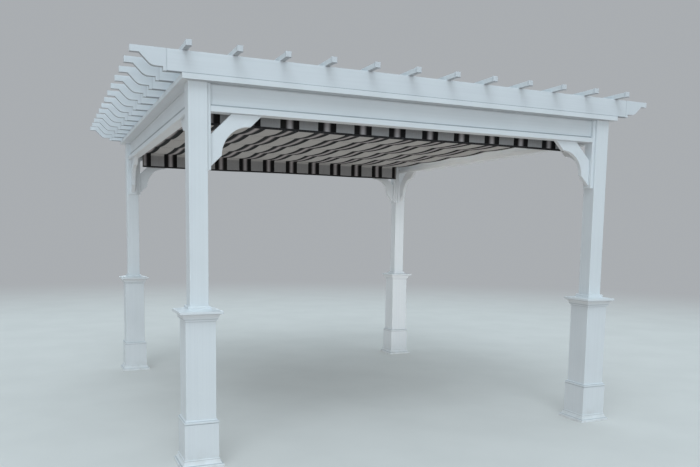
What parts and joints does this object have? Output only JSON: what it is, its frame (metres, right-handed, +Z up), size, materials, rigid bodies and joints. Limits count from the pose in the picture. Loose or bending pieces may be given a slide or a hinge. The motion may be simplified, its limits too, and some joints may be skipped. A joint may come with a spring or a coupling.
{
  "type": "freestanding vinyl pergola with a striped canopy",
  "caption": "Freestanding white vinyl pergola: pedestal posts, arched knee brackets, ogee-tailed rafters, purlins and a striped fabric canopy slung in slack bays below them.",
  "frame": {"origin": "on the floor, at the middle of the four posts", "axes": "+X to the right along the front, +Y from the front to the rear, +Z up"},
  "size_m": [4.295, 4.061, 2.794],
  "materials": {
    "white_vinyl": "extruded white vinyl with a low sheen",
    "moulded_vinyl": "moulded white vinyl, slightly smoother than the extrusions",
    "white_aluminium": "white powder coat",
    "striped_fabric": "woven outdoor fabric, grey with near-black stripes and bound edges"
  },
  "bodies": {
    "root": {"base_moulding_front_left": "moulded_vinyl", "base_moulding_front_right": "moulded_vinyl", "base_moulding_rear_left": "moulded_vinyl", "base_moulding_rear_right": "moulded_vinyl", "beam_front": "white_vinyl", "beam_left": "white_vinyl", "beam_rail_front": "white_vinyl", "beam_rail_left": "white_vinyl", "beam_rail_rear": "white_vinyl", "beam_rail_right": "white_vinyl", "beam_rear": "white_vinyl", "beam_right": "white_vinyl", "brackets_front_left": "white_vinyl", "brackets_front_right": "white_vinyl", "brackets_rear_left": "white_vinyl", "brackets_rear_right": "white_vinyl", "canopy": "striped_fabric", "canopy_battens": "white_aluminium", "canopy_tracks": "white_aluminium", "ledge_front": "white_vinyl", "ledge_left": "white_vinyl", "ledge_rear": "white_vinyl", "ledge_right": "white_vinyl", "mounting_strips": "white_vinyl", "pedestal_box_front_left": "white_vinyl", "pedestal_box_front_right": "white_vinyl", "pedestal_box_rear_left": "white_vinyl", "pedestal_box_rear_right": "white_vinyl", "pedestal_cap_front_left": "moulded_vinyl", "pedestal_cap_front_right": "moulded_vinyl", "pedestal_cap_rear_left": "moulded_vinyl", "pedestal_cap_rear_right": "moulded_vinyl", "pedestal_plinth_front_left": "white_vinyl", "pedestal_plinth_front_right": "white_vinyl", "pedestal_plinth_rear_left": "white_vinyl", "pedestal_plinth_rear_right": "white_vinyl", "post_collars": "moulded_vinyl", "post_front_left": "white_vinyl", "post_front_right": "white_vinyl", "post_rear_left": "white_vinyl", "post_rear_right": "white_vinyl", "purlin_caps": "moulded_vinyl", "purlins": "white_vinyl", "rafter_caps_left": "moulded_vinyl", "rafter_caps_right": "moulded_vinyl", "rafters": "white_vinyl", "valance_front": "striped_fabric", "valance_rear": "striped_fabric"}
  },
  "joints": []
}
